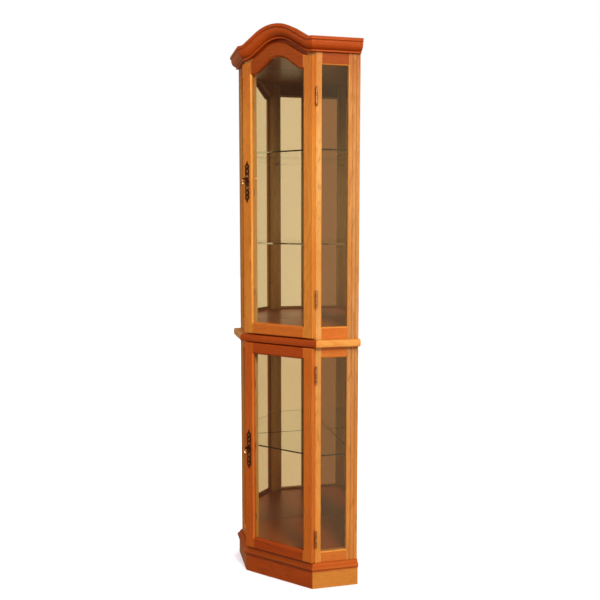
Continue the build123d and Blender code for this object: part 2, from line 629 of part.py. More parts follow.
def make_hinges(out):
    case_knuckles, door_knuckles = range(0, KNUCKLES, 2), range(1, KNUCKLES, 2)
    case_leaves, pins = [], []
    for level in ("lower", "upper"):
        heights = hinge_heights(level)
        case_leaves += [hinge_leaf(z, case_knuckles, (0, LEAF_T)) for z in heights]
        pins += [hinge_pin(z) for z in heights]
        door_out = (LEAF_T + LEAF_PLAY, LEAF_T + LEAF_PLAY + DOOR_LEAF_T)
        out[f"{level}_door_hinge_leaves"] = Compound(
            children=[hinge_leaf(z, door_knuckles, door_out) for z in heights])
    out["hinge_case_leaves"] = Compound(children=case_leaves)
    out["hinge_pins"] = Compound(children=pins)


def catch_z(deck_top):
    return deck_top - CATCH_COVER - CATCH[2] / 2


def catch_bodies(play):
    """Magnetic catches let into the face rails, flush with the case front, grown by play."""
    width, deep, tall = CATCH
    along = grown((CATCH_X, CATCH_X), width / 2 + play)
    heights = [grown((catch_z(top), catch_z(top)), tall / 2 + play) for top in (FLOOR_TOP, MID_TOP)]
    return [board(FRONT, along, height, (-deep - play, play)) for height in heights]


def make_catches(out):
    out["door_catches"] = Compound(children=catch_bodies(0))


# ---- handles ----
def plate_outline():
    """Backplate: a spine with lobes, nicks between them, piercings and a spade at each end."""
    plate = Rectangle(PLATE_SPINE_W, PLATE_L - 34)
    plate += [Pos(0, side * along) * Circle(radius) for along, radius in PLATE_LOBES for side in (-1, 1)]
    tip = PLATE_L / 2
    spade = [(0, tip), (1.8, tip - 6), (4.2, tip - 10), (7.8, tip - 17)]
    for side in (-1, 1):
        outline = [(x, side * y) for x, y in spade] + [(-x, side * y) for x, y in reversed(spade[1:])]
        plate += make_face(Polyline(*outline, close=True))
        plate -= [Pos(across, side * along) * Circle(radius) for across, along, radius in PLATE_PIERCINGS]
        for (low, radius), (high, _) in zip(PLATE_LOBES, PLATE_LOBES[1:]):
            plate -= [Pos(hand * (radius + PLATE_NOTCH_R / 2), side * (low + high) / 2) * Circle(PLATE_NOTCH_R)
                      for hand in (-1, 1)]
    return plate


def make_handle(out, level, z):
    """Pierced backplate with its screws, a stem with two cheeks, and a drop that swings on a pin."""
    seat = Plane(origin=(HANDLE_X, -DOOR_FACE, z), x_dir=(1, 0, 0), z_dir=(0, -1, 0))
    body = seat * extrude(plate_outline(), amount=PLATE_T)
    head = Polyline((0, -1), (SCREW_R, -1), (SCREW_R, 0), (SCREW_R * 0.85, SCREW_RISE * 0.6),
                    (SCREW_R * 0.5, SCREW_RISE), (0, SCREW_RISE), close=True)
    for side in (-1, 1):
        screw = revolve(Plane.XZ * make_face(head), axis=Axis.Z)
        body += seat * (Pos(0, side * SCREW_ALONG, PLATE_T) * screw)
    body += seat * (Pos(0, PIVOT_RISE, 0) * extrude(Circle(BOSS_R), amount=PLATE_T + BOSS_T))
    cheek_reach = PIVOT_OUT - EYE_R - 1
    body += seat * (Pos(0, PIVOT_RISE, 0) * extrude(Circle(STEM_R), amount=cheek_reach))

    pivot = seat * Pos(0, PIVOT_RISE, PIVOT_OUT)
    half_gap = EYE_W / 2 + EYE_PLAY
    reach = PIVOT_OUT - cheek_reach
    body += pivot * (Pos(0, 0, -reach - 1) * Box(2 * (half_gap + CHEEK_T), 2 * STEM_R, 2))
    for side in (-1, 1):
        x = side * (half_gap + CHEEK_T / 2)
        body += pivot * (Pos(x, 0, -reach / 2) * Box(CHEEK_T, 2 * STEM_R, reach))
        body += pivot * (Pos(x, 0, 0) * Rot(0, 90, 0) * Cylinder(STEM_R, CHEEK_T))
    body += pivot * (Rot(0, 90, 0) * Cylinder(DROP_PIN_R, 2 * (half_gap + CHEEK_T)))
    out[f"{level}_handle_plate"] = body

    neck, collar, belly, toe = (-DROP_L * share for share in (0.26, 0.33, 0.69, 0.91))
    half = Polyline((0, -2), (1.9, -2), (1.9, neck), (2.6, collar))
    half += Spline((2.6, collar), (DROP_R, belly), (DROP_R * 0.53, toe), (0, -DROP_L),
                   tangents=[(0.6, -1), (-1, -0.3)])
    profile = make_face(half + Line((0, -DROP_L), (0, -2)))
    drop = revolve(profile, axis=Axis.Y)
    drop += Rot(0, 90, 0) * Cylinder(EYE_R, EYE_W)
    drop -= Rot(0, 90, 0) * Cylinder(DROP_PIN_R + PIN_PLAY, 4 * EYE_W)
    out[f"{level}_drop_pull"] = pivot * drop


# ---- build ----
def main():
    nodes = {}
    make_base(nodes)
    make_case(nodes)
    make_frieze(nodes)
    make_back(nodes)
    make_side_glass(nodes)
    make_waist(nodes)
    make_crown(nodes)
    make_shelves(nodes)
    for level in ("lower", "upper"):
        make_door(nodes, level)
    make_hinges(nodes)
    make_catches(nodes)
    make_handle(nodes, "upper", UPPER_DOOR_UNDER + UPPER_HANDLE_UP)
    make_handle(nodes, "lower", LOWER_DOOR[0] + LOWER_HANDLE_UP)

    os.makedirs("parts", exist_ok=True)
    for name, shape in nodes.items():
        solids = [solid.moved(TO_ORIGIN) for solid in shape.solids()]
        export_step(solids[0] if len(solids) == 1 else Compound(children=solids), f"parts/{name}.step")
    print(len(nodes), "nodes")


main()
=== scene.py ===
"""Corner china cabinet in honey oak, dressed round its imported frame.

Metres, +Z up, the front towards -Y, the room corner towards +Y, doors hung on the +X side.
Every node of the frame gets a softened copy in its own finish. Screws, rims, pearls, collars and
catch poles are modelled here, in the places that the frame's nodes give.
"""
import json
from math import cos, radians

import bmesh
import bpy
from mathutils import Matrix, Vector

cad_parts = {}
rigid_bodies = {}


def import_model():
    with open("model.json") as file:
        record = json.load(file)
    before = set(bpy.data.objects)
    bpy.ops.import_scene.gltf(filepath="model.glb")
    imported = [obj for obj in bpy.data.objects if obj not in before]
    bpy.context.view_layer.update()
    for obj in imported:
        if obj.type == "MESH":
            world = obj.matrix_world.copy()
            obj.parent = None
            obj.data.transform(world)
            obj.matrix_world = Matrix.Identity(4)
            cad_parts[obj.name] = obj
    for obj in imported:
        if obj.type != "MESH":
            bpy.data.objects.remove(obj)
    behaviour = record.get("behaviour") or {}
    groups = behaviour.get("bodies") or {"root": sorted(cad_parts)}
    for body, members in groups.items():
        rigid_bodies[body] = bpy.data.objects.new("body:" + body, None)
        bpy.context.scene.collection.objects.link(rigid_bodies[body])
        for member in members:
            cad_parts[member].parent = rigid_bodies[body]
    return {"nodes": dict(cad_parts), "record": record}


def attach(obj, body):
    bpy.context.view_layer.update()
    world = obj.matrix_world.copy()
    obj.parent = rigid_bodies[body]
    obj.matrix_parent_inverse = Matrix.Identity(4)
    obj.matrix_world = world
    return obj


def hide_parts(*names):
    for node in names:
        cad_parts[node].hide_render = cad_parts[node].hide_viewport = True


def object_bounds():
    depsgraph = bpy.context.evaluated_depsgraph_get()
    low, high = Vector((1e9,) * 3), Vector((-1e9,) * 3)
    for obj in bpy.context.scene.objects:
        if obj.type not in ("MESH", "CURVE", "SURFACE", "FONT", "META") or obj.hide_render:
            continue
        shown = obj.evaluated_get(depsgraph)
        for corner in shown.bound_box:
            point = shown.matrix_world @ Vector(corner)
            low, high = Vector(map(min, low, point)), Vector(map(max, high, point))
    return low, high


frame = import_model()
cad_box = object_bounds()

MM = 0.001
NODES = frame["nodes"]
BODY_OF = {node: body for body, nodes in frame["record"]["behaviour"]["bodies"].items() for node in nodes}
SLOT_OF = {part["node"]: part["material_slot"] for part in frame["record"]["subparts"]}

# ---- the camera ----
CAMERA_AT = (1.4309, -2.3347, 1.2576)
CAMERA_YAW = 31.754              # degrees to the left
CAMERA_PITCH = 5.786             # degrees down
CAMERA_LENS = 45.886


# ---- shader nodes ----
class Shader:
    """A material's node tree, with short calls for the nodes that the finishes share."""

    def __init__(self, name):
        self.material = bpy.data.materials.new(name)
        self.material.use_nodes = True
        self.tree = self.material.node_tree
        self.surface = self.tree.nodes["Principled BSDF"]

    def add(self, kind, **values):
        node = self.tree.nodes.new("ShaderNode" + kind)
        for key, value in values.items():
            setattr(node, key, value)
        return node

    def plug(self, value, socket):
        if isinstance(value, bpy.types.NodeSocket):
            self.tree.links.new(value, socket)
        else:
            socket.default_value = value

    def math(self, operation, a, b=0.0):
        node = self.add("Math", operation=operation)
        self.plug(a, node.inputs[0])
        self.plug(b, node.inputs[1])
        return node.outputs[0]

    def noise(self, vector, detail, roughness=0.5):
        """Noise one unit wide; the vector that it reads is stretched to suit."""
        node = self.add("TexNoise")
        self.plug(vector, node.inputs["Vector"])
        node.inputs["Scale"].default_value = 1.0
        node.inputs["Detail"].default_value = detail
        node.inputs["Roughness"].default_value = roughness
        return node.outputs["Fac"]

    def mapped(self, vector, place=(0, 0, 0), turn=(0, 0, 0), stretch=(1, 1, 1)):
        node = self.add("Mapping")
        self.plug(vector, node.inputs["Vector"])
        node.inputs["Location"].default_value = place
        node.inputs["Rotation"].default_value = turn
        node.inputs["Scale"].default_value = stretch
        return node.outputs["Vector"]

    def object_space(self):
        return self.add("TexCoord").outputs["Object"]

    def band(self, value, low, high):
        """0 below low, 1 above high, smooth between."""
        node = self.add("MapRange", interpolation_type="SMOOTHSTEP")
        self.plug(value, node.inputs["Value"])
        node.inputs["From Min"].default_value = low
        node.inputs["From Max"].default_value = high
        return node.outputs["Result"]

    def scaled(self, value, low, high):
        """low at 0, high at 1, straight between."""
        node = self.add("MapRange")
        self.plug(value, node.inputs["Value"])
        node.inputs["To Min"].default_value = low
        node.inputs["To Max"].default_value = high
        return node.outputs["Result"]

    def blend(self, factor, a, b, mode="MIX"):
        node = self.add("Mix", data_type="RGBA", blend_type=mode)
        self.plug(factor, node.inputs[0])
        self.plug(a, node.inputs[6])
        self.plug(b, node.inputs[7])
        return node.outputs[2]

    def bump(self, height, distance, strength):
        node = self.add("Bump")
        self.plug(height, node.inputs["Height"])
        node.inputs["Distance"].default_value = distance
        node.inputs["Strength"].default_value = strength
        self.tree.links.new(node.outputs["Normal"], self.surface.inputs["Normal"])

    def set(self, **values):
        for key, value in values.items():
            self.plug(value, self.surface.inputs[key.replace("_", " ")])


# ---- finishes ----
# degrees that bring a board's length to Z, about Y after a heading about Z
BOARD_TURN = {"upright": (0, 0), "across": (90, 0), "right": (90, -45), "left": (90, 45)}
RING_PITCH = 5.5 * MM
RING_WARP = 9.0                  # rings that the warp adds at most

# wood stains, of which umber and russet also serve as painted shade on some nodes, by the table below
STAIN_AND_SHADE_TONES = {"straw": (0.70, 0.335, 0.080), "pale": (0.63, 0.350, 0.115), "honey": (0.60, 0.240, 0.036),
          "tawny": (0.50, 0.245, 0.082), "amber": (0.56, 0.165, 0.022), "rust": (0.50, 0.115, 0.012),
          "russet": (0.37, 0.060, 0.004), "umber": (0.28, 0.050, 0.003)}

# shares of a tone's colour
EARLY_WOOD = (1.10, 1.13, 1.16)
LATE_WOOD = (0.88, 0.79, 0.68)
FIBRE = (0.74, 0.62, 0.50)
FLUSH = (0.93, 0.76, 0.52)
PORE = (0.40, 0.28, 0.22)
CROWN_SHADE_SPAN = (1.52, 1.80)              # heights between which painted shade from the crown deepens the tone
# the tint of the painted shade under the crown
CROWN_SHADE_TINT = (0.74, 0.52, 0.38, 1)
FOOT = (0.75, 0.15)              # heights between which it turns warmer, downwards
FOOT_TINT = (1.16, 1.0, 0.68, 1)


def shade(stain_and_shade, share):
    return tuple(colour * part for colour, part in zip(STAIN_AND_SHADE_TONES[stain_and_shade], share)) + (1,)


def board_space(s, grain, middle, seed):
    """Coordinates with Z along the board and the pith of its tree a little behind its face."""
    turn, heading = BOARD_TURN[grain]
    level = s.mapped(s.object_space(), turn=(0, 0, radians(heading)))
    spin = Matrix.Rotation(radians(turn), 3, "Y") @ Matrix.Rotation(radians(heading), 3, "Z")
    pith = Vector((0.014 * (seed * 3 % 5 - 2), 0.035 + 0.016 * (seed % 4), 0.41 * seed)) - spin @ middle
    return s.mapped(level, place=pith, turn=(0, radians(turn), 0))


def oak(name, grain, middle, seed, stain_and_shade, crown_shaded=False):
    """Oak under satin lacquer, its grain along the board.

    Crown-shaded boards get painted shade under the crown, and turn warmer towards the floor.
    """
    s = Shader(name)
    along = board_space(s, grain, middle, seed)

    # growth rings round the pith, leaning a little so that they arch along the board
    warp = s.noise(s.mapped(along, stretch=(11, 11, 2.2)), detail=2.0)
    leaning = s.mapped(along, turn=(radians(1.1 + 0.5 * (seed % 3)), radians(1.6 - 0.8 * (seed % 5)), 0))
    radius = s.add("VectorMath", operation="LENGTH")
    s.plug(s.mapped(leaning, stretch=(1, 1, 0)), radius.inputs[0])
    rings = s.math("ADD", s.math("DIVIDE", radius.outputs["Value"], RING_PITCH),
                   s.math("MULTIPLY", warp, RING_WARP))
    saw = s.math("FRACT", rings)
    fade = s.noise(s.mapped(along, stretch=(30, 30, 3)), detail=1.0)
    late = s.math("MULTIPLY", s.math("MULTIPLY", s.band(saw, 0.15, 0.88), s.band(saw, 1.0, 0.9)),
                  s.band(fade, 0.28, 0.66))

    # pores run in short dark strokes through the early wood
    rows = s.math("MULTIPLY", s.band(saw, 0.42, 0.05), s.band(fade, 0.70, 0.30))
    strokes = s.noise(s.mapped(along, stretch=(1500, 1500, 42)), detail=1.0)
    pores = s.band(s.math("ADD", strokes, s.math("MULTIPLY", rows, 0.11)), 0.60, 0.70)
    fibre = s.noise(s.mapped(along, stretch=(380, 380, 5)), detail=3.0)
    flush = s.noise(s.mapped(along, stretch=(16, 16, 3.4)), detail=2.5)

    base = s.blend(s.math("MULTIPLY", late, 0.8), shade(stain_and_shade, EARLY_WOOD), shade(stain_and_shade, LATE_WOOD))
    base = s.blend(s.math("MULTIPLY", s.band(fibre, 0.42, 0.70), 0.38), base, shade(stain_and_shade, FIBRE))
    base = s.blend(s.math("MULTIPLY", rows, 0.5), base, shade(stain_and_shade, FIBRE))
    base = s.blend(s.math("MULTIPLY", s.band(flush, 0.40, 0.66), 0.75), base, shade(stain_and_shade, FLUSH))
    base = s.blend(s.math("MULTIPLY", pores, 0.62), base, shade(stain_and_shade, PORE))
    if crown_shaded:
        parts = s.add("SeparateXYZ")
        s.plug(s.object_space(), parts.inputs[0])
        height = parts.outputs["Z"]
        # painted shade: the tone deepens under the crown
        base = s.blend(s.math("MULTIPLY", s.band(height, *CROWN_SHADE_SPAN), 0.75), base, CROWN_SHADE_TINT, "MULTIPLY")
        base = s.blend(s.band(height, *FOOT), base, FOOT_TINT, "MULTIPLY")
    s.set(Base_Color=base, Roughness=s.scaled(pores, 0.36, 0.52), IOR=1.5, Coat_Weight=0.18,
          Coat_Roughness=0.14)
    relief = s.math("ADD", s.math("MULTIPLY", pores, -1.0), s.math("MULTIPLY", fibre, 0.35))
    s.bump(relief, 0.00016, 0.7)
    return s.material


def clear_glass(name, tint=(0.97, 0.99, 0.975, 1)):
    """Float glass that lets lamp light through to what stands behind it."""
    s = Shader(name)
    s.set(Base_Color=tint, Roughness=0.0, IOR=1.46, Transmission_Weight=1.0)
    clear = s.add("BsdfTransparent")
    clear.inputs["Color"].default_value = (0.93, 0.95, 0.93, 1)
    path, mix = s.add("LightPath"), s.add("MixShader")
    s.plug(path.outputs["Is Shadow Ray"], mix.inputs[0])
    s.plug(s.surface.outputs[0], mix.inputs[1])
    s.plug(clear.outputs[0], mix.inputs[2])
    s.plug(mix.outputs[0], s.tree.nodes["Material Output"].inputs["Surface"])
    return s.material


def silvered(name, clean, dull):
    """Mirror: silver behind glass, a shade duller in clouds."""
    s = Shader(name)
    cloud = s.noise(s.mapped(s.object_space(), stretch=(5, 5, 5)), detail=4.0)
    s.set(Base_Color=s.blend(cloud, clean, dull), Metallic=1.0, Roughness=0.0)
    return s.material


def backing(name, seed):
    """Plain flecked brown board, as the back panels are."""
    s = Shader(name)
    space = s.mapped(s.object_space(), place=(seed, 0, 0))
    fleck = s.noise(s.mapped(space, stretch=(260, 260, 90)), detail=4.0, roughness=0.7)
    cloud = s.noise(s.mapped(space, stretch=(5, 5, 5)), detail=3.0)
    base = s.blend(s.band(fleck, 0.35, 0.7), (0.30, 0.165, 0.075, 1), (0.17, 0.085, 0.036, 1))
    base = s.blend(s.math("MULTIPLY", cloud, 0.35), base, (0.36, 0.21, 0.11, 1))
    s.set(Base_Color=base, Roughness=s.scaled(fleck, 0.62, 0.85))
    s.bump(fleck, 0.0002, 0.6)
    return s.material


def brass(name, hollow, worn_colour, wear, rough, seed=0.0):
    """Brass gone dark in its hollows and rubbed bright on its high points."""
    s = Shader(name)
    space = s.mapped(s.object_space(), place=(seed, seed, 0))
    blotch = s.noise(s.mapped(space, stretch=(170, 170, 170)), detail=5.0, roughness=0.62)
    fine = s.noise(s.mapped(space, stretch=(1600, 1600, 1600)), detail=2.0)
    worn = s.band(blotch, *wear)
    s.set(Base_Color=s.blend(worn, hollow, worn_colour), Metallic=s.scaled(worn, 0.85, 1.0),
          Roughness=s.scaled(s.math("ADD", worn, s.math("MULTIPLY", fine, -0.5)), rough + 0.2, rough))
    s.bump(s.math("ADD", blotch, s.math("MULTIPLY", fine, 0.4)), 0.0002, 0.5)
    return s.material


def plated_steel(name):
    """Bright plated steel with a faint brushed grain."""
    s = Shader(name)
    brushed = s.noise(s.mapped(s.object_space(), stretch=(900, 900, 90)), detail=2.0)
    s.set(Base_Color=(0.62, 0.60, 0.56, 1), Metallic=1.0, Roughness=s.scaled(brushed, 0.22, 0.42))
    s.bump(brushed, 0.00004, 0.5)
    return s.material


def moulded_plastic(name, colour, rough):
    """Coloured plastic with a fine moulded grain."""
    s = Shader(name)
    grain = s.noise(s.mapped(s.object_space(), stretch=(1400, 1400, 1400)), detail=2.0)
    drift = s.noise(s.mapped(s.object_space(), stretch=(60, 60, 60)), detail=2.0)
    darker = tuple(0.72 * part for part in colour) + (1,)
    s.set(Base_Color=s.blend(drift, colour + (1,), darker), Roughness=s.scaled(grain, rough, rough + 0.14))
    s.bump(grain, 0.00005, 0.5)
    return s.material


# ---- pieces from the frame's nodes ----
WELD = 0.00001                   # nearer points than this are one
SMOOTH_TO = 32                   # degrees; sharper turns stay crisp
EDGE_STEPS = 2
WOOD_EDGE = 0.7 * MM
TRIM_EDGE = 0.4 * MM
GLASS_EDGE = 0.35 * MM
CAST_EDGE = 0.25 * MM
TURNED_EDGE = 0.3 * MM
CLIP_EDGE = 0.4 * MM
CATCH_EDGE = 0.5 * MM


def finished(mesh, name, materials, smooth):
    """A new object at the origin, smooth shaded except where its faces turn sharply."""
    mesh.materials.clear()
    for material in materials:
        mesh.materials.append(material)
    for face in mesh.polygons:
        face.use_smooth = True
    mesh.set_sharp_from_angle(angle=radians(smooth))
    piece = bpy.data.objects.new(name, mesh)
    bpy.context.collection.objects.link(piece)
    even = piece.modifiers.new("even_shading", "WEIGHTED_NORMAL")
    even.keep_sharp = True
    return piece


def softened(node, name, materials, edge):
    """A copy of a node with its sharp edges eased, which stands for the node."""
    bm = bmesh.new()
    bm.from_mesh(NODES[node].data)
    bmesh.ops.remove_doubles(bm, verts=bm.verts, dist=WELD)
    bmesh.ops.dissolve_limit(bm, angle_limit=radians(0.4), verts=bm.verts, edges=bm.edges)
    sharp = [e for e in bm.edges if len(e.link_faces) == 2 and e.calc_face_angle() > radians(SMOOTH_TO)]
    bmesh.ops.bevel(bm, geom=sharp, offset=edge, offset_type="OFFSET", affect="EDGES",
                    segments=EDGE_STEPS, profile=0.5, material=-1, clamp_overlap=True)
    piece = finished(small_mesh(name, bm), name, materials, SMOOTH_TO)
    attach(piece, BODY_OF[node])
    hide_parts(node)
    return piece


def grain_of(node):
    """Which way a wooden node's boards run."""
    if "post" in node or "stile" in node:
        return "upright"
    if node.startswith(("plinth", "base_cap", "waist", "crown", "side_rails")):
        hand = node.split("_")[-1]
        return hand if hand in ("right", "left") else "across"
    return "across"


# the tone of a wooden node, by the first start of its name that fits; umber on the upper door's top rail is
# painted shadow from the crown, umber on the roof panel is painted shade inside the case, and russet on the
# left plinth, which falls to the last tone, is painted shade on the side away from the key light
STAIN_AND_SHADE_OF = {"front_post": "pale", "rear_post": "tawny", "side_glass_beads": "pale",
            "upper_door_stile": "honey", "waist_right": "straw", "waist_left": "pale",
            "plinth_right": "honey", "base_cap_right": "rust", "base_cap_front": "umber",
            "upper_door_bottom": "amber", "side_rails": "amber", "upper_door_top": "umber",
            "lower_door_stile_right": "amber", "lower_door_stile": "rust",
            "roof_panel": "umber", "bottom_deck": "umber", "mid_deck": "umber"}
OTHER_STAIN_AND_SHADE = "russet"
TOP_RAIL_FROM = 1.7              # the side rails above this height are the top ones, which take painted shadow from the crown
CHAMFER_SLOPE = cos(radians(45))
SLOPE_PLAY = 0.02
STICKING_FROM = 0.0005           # square metres; smaller faces are eased corners


def stain_and_shade_of(node):
    return next((stain_and_shade for start, stain_and_shade in STAIN_AND_SHADE_OF.items() if node.startswith(start)), OTHER_STAIN_AND_SHADE)


def middle_of(node):
    return sum((Vector(corner) for corner in NODES[node].bound_box), Vector()) / 8


def highlight_faces(piece, material, chosen):
    """Gives the faces that a test picks out a second, paler oak, which is a painted highlight."""
    piece.data.materials.append(material)
    for face in piece.data.polygons:
        if chosen(face):
            face.material_index = 1


def is_glass_chamfer(face, hand, corner_post):
    """Whether a face is a chamfer round the side glass, on the right (hand 1) or left (hand -1)."""
    outward, front = Vector((hand, -1, 0)).normalized(), Vector((0, -1, 0))
    tilted = abs(face.normal.dot(outward) - CHAMFER_SLOPE) < SLOPE_PLAY
    return tilted and not (corner_post and face.normal.dot(front) > 0.9)


def is_sticking(face):
    """Whether a face is the chamfer round a door's glass, on a stile."""
    leans_out = abs(face.normal.y + CHAMFER_SLOPE) < SLOPE_PLAY
    leans_aside = abs(abs(face.normal.x) - CHAMFER_SLOPE) < SLOPE_PLAY
    return leans_out and leans_aside and face.area > STICKING_FROM


def dress_wood():
    """Oak on every board, with a painted highlight on the chamfers round the glass and painted shadow from
    the crown on the top side rails.
    """
    for index, node in enumerate(sorted(node for node, slot in SLOT_OF.items() if slot == "oak")):
        grain, middle, seed = grain_of(node), middle_of(node), index + 1
        # the posts and upper door stiles get painted shade under the crown
        crown_shaded = node.startswith(("front_post", "rear_post", "upper_door_stile"))
        wood = oak("oak_" + node, grain, middle, seed, stain_and_shade_of(node), crown_shaded)
        piece = softened(node, node + "_board", [wood], TRIM_EDGE if "bead" in node else WOOD_EDGE)
        # painted highlight: the chamfers round the side glass take a paler stain
        if node.startswith(("front_post", "rear_post", "side_rails")):
            hand = 1 if node.endswith("right") else -1
            chamfer_highlight = oak("oak_edging_" + node, grain, middle, seed, "straw")
            highlight_faces(piece, chamfer_highlight, lambda face: is_glass_chamfer(face, hand, "front" in node))
        # painted highlight: the chamfers round the door glass take a paler stain
        if "door_stile" in node:
            tone = "straw" if "upper" in node else "amber"
            highlight_faces(piece, oak("oak_edging_" + node, grain, middle, seed, tone), is_sticking)
        # painted shadow from the crown: the top side rails take a deeper umber
        if node.startswith("side_rails"):
            crown_shadow_wood = oak("oak_top_" + node, grain, middle, seed + 3, "umber")
            piece.data.materials.append(crown_shadow_wood)
            for face in piece.data.polygons:
                if face.material_index == 0 and face.center.z > TOP_RAIL_FROM:
                    face.material_index = 2


def dress_backing():
    for index, node in enumerate(sorted(node for node, slot in SLOT_OF.items() if slot == "backing_board")):
        softened(node, node + "_board", [backing("backing_" + node, index)], TRIM_EDGE)


def dress_glass():
    """Panes, greener shelves, and mirrors, of which the lower pair is bronzed."""
    glass = clear_glass("float_glass")
    shelf_glass = clear_glass("shelf_glass", (0.93, 0.975, 0.95, 1))
    mirrors = {"upper": silvered("mirror_silver", (0.86, 0.85, 0.81, 1), (0.78, 0.775, 0.73, 1)),
               "lower": silvered("mirror_bronzed", (0.80, 0.74, 0.67, 1), (0.72, 0.67, 0.60, 1))}
    for node, slot in SLOT_OF.items():
        if slot == "clear_glass":
            softened(node, node + "_pane", [shelf_glass if "shelf" in node else glass], GLASS_EDGE)
        elif slot == "mirror_glass":
            softened(node, node + "_sheet", [mirrors[node.split("_")[0]]], GLASS_EDGE)


def dress_metal():
    """Brass, steel and plastic on the hardware."""
    for node, slot in SLOT_OF.items():
        if slot == "antique_brass":
            cast = [rubbed_brass if "hinge" in node else bright_brass if "drop" in node else dark_brass]
            softened(node, node + "_cast", cast, CAST_EDGE)
        elif slot == "plated_steel":
            softened(node, node + "_turned", [steel], TURNED_EDGE)
        elif slot == "clip_plastic":
            softened(node, node + "_set", [clip_plastic], CLIP_EDGE)
        elif slot == "catch_plastic":
            softened(node, node + "_set", [catch_plastic], CATCH_EDGE)


# ---- small fittings ----
FRONT_FACING, BACK_FACING = (0, -1, 0), (0, 1, 0)
SPIN_WELD = 0.000001
ROUND_STEPS = 28


def loose_boxes(node):
    """Centre and size of each separate piece in a node, from the lowest up."""
    bm = bmesh.new()
    bm.from_mesh(NODES[node].data)
    bmesh.ops.remove_doubles(bm, verts=bm.verts, dist=WELD)
    left, boxes = set(bm.verts), []
    while left:
        group, edge = set(), [left.pop()]
        while edge:
            vert = edge.pop()
            group.add(vert)
            near = {link.other_vert(vert) for link in vert.link_edges} & left
            left -= near
            edge += near
        lows = Vector([min(vert.co[axis] for vert in group) for axis in range(3)])
        highs = Vector([max(vert.co[axis] for vert in group) for axis in range(3)])
        boxes.append(((lows + highs) / 2, highs - lows))
    bm.free()
    return sorted(boxes, key=lambda box: tuple(round(part, 5) for part in reversed(box[0])))


def facing(point, direction):
    """Placement that stands a fitting at a point, its own Z along a direction."""
    turn = Vector(direction).to_track_quat("Z", "Y").to_matrix().to_4x4()
    return Matrix.Translation(point) @ turn


def joined(name, shapes, material, body, smooth=SMOOTH_TO):
    """One piece from copies of small meshes, each a (mesh, placement) pair."""
    bm = bmesh.new()
    for mesh, place in shapes:
        before = len(bm.verts)
        bm.from_mesh(mesh)
        bm.verts.ensure_lookup_table()
        bmesh.ops.transform(bm, matrix=place, verts=bm.verts[before:])
    piece = finished(small_mesh(name, bm), name, [material], smooth)
    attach(piece, body)
    return piece


def small_mesh(name, bm):
    """A mesh from a bmesh, which it frees."""
    mesh = bpy.data.meshes.new(name)
    bm.to_mesh(mesh)
    bm.free()
    return mesh


def screw_mesh(name, radius, rise):
    """A slotted head: a low disc with two half discs standing on it."""
    whole = bmesh.new()
    bmesh.ops.create_cone(whole, cap_ends=True, segments=ROUND_STEPS, radius1=radius, radius2=radius,
                          depth=rise * 0.5, matrix=Matrix.Translation((0, 0, rise * 0.25)))
    for hand in (1, -1):
        half = bmesh.new()
        bmesh.ops.create_cone(half, cap_ends=True, segments=ROUND_STEPS, radius1=radius * 0.97,
                              radius2=radius * 0.76, depth=rise * 0.6,
                              matrix=Matrix.Translation((0, 0, rise * 0.7)))
        cut = bmesh.ops.bisect_plane(half, geom=half.verts[:] + half.edges[:] + half.faces[:],
                                     plane_co=(0, hand * radius * 0.14, 0), plane_no=(0, hand, 0),
                                     clear_inner=True)
        rim = [part for part in cut["geom_cut"] if isinstance(part, bmesh.types.BMEdge)]
        bmesh.ops.contextual_create(half, geom=rim)
        bmesh.ops.recalc_face_normals(half, faces=half.faces)
        part = small_mesh(name + "_half", half)
        whole.from_mesh(part)
        bpy.data.meshes.remove(part)
    return small_mesh(name, whole)


def turned_mesh(name, outline, steps, closed=False):
    """A shape turned about Z from (radius, height) points, which end on the axis or close up."""
    bm = bmesh.new()
    verts = [bm.verts.new((radius, 0, height)) for radius, height in outline]
    after = verts[1:] + verts[:1] if closed else verts[1:]
    edges = [bm.edges.new(pair) for pair in zip(verts, after)]
    bmesh.ops.spin(bm, geom=verts + edges, cent=(0, 0, 0), axis=(0, 0, 1), angle=radians(360),
                   steps=steps, use_merge=True)
    bmesh.ops.remove_doubles(bm, verts=bm.verts, dist=SPIN_WELD)
    bmesh.ops.recalc_face_normals(bm, faces=bm.faces)
    return small_mesh(name, bm)


def ring_mesh(name, radius, wire):
    """A bead that runs round in a circle, half sunk in what it stands on."""
    section = [(radius - wire, 0), (radius - wire * 0.7, wire * 0.7), (radius, wire),
               (radius + wire * 0.7, wire * 0.7), (radius + wire, 0), (radius, -wire * 0.6)]
    return turned_mesh(name, section, ROUND_STEPS, closed=True)


def dome_mesh(name, radius, rise):
    """A small dome with a foot that sinks into what it stands on."""
    outline = [(0, rise), (radius * 0.5, rise * 0.87), (radius * 0.87, rise * 0.5), (radius, 0),
               (radius * 0.8, -rise * 0.3), (0, -rise * 0.3)]
    return turned_mesh(name, outline, ROUND_STEPS // 2)


def plate_mesh(name, width, tall, thick, ease):
    """A thin plate standing on the XY plane with eased edges."""
    bm = bmesh.new()
    bmesh.ops.create_cube(bm, size=1.0)
    bmesh.ops.scale(bm, vec=(width, tall, thick), verts=bm.verts)
    bmesh.ops.translate(bm, vec=(0, 0, thick / 2), verts=bm.verts)
    bmesh.ops.bevel(bm, geom=bm.edges[:], offset=ease, offset_type="OFFSET", affect="EDGES", segments=2,
                    profile=0.5, material=-1, clamp_overlap=True)
    return small_mesh(name, bm)


LEAF_SCREW_R = 2.6 * MM
LEAF_SCREW_RISE = 0.08 * MM
LEAF_SCREWS = ((-7.5 * MM, -19 * MM), (-11 * MM, 0), (-7.5 * MM, 19 * MM))   # (from the door edge, up)
DOOR_EDGE_X = 0.14
CASE_LEAF_FACE = 1.0 * MM        # out from the case front
DOOR_LEAF_FACE = 1.2 * MM
CASE_FRONT_Y = -0.150466


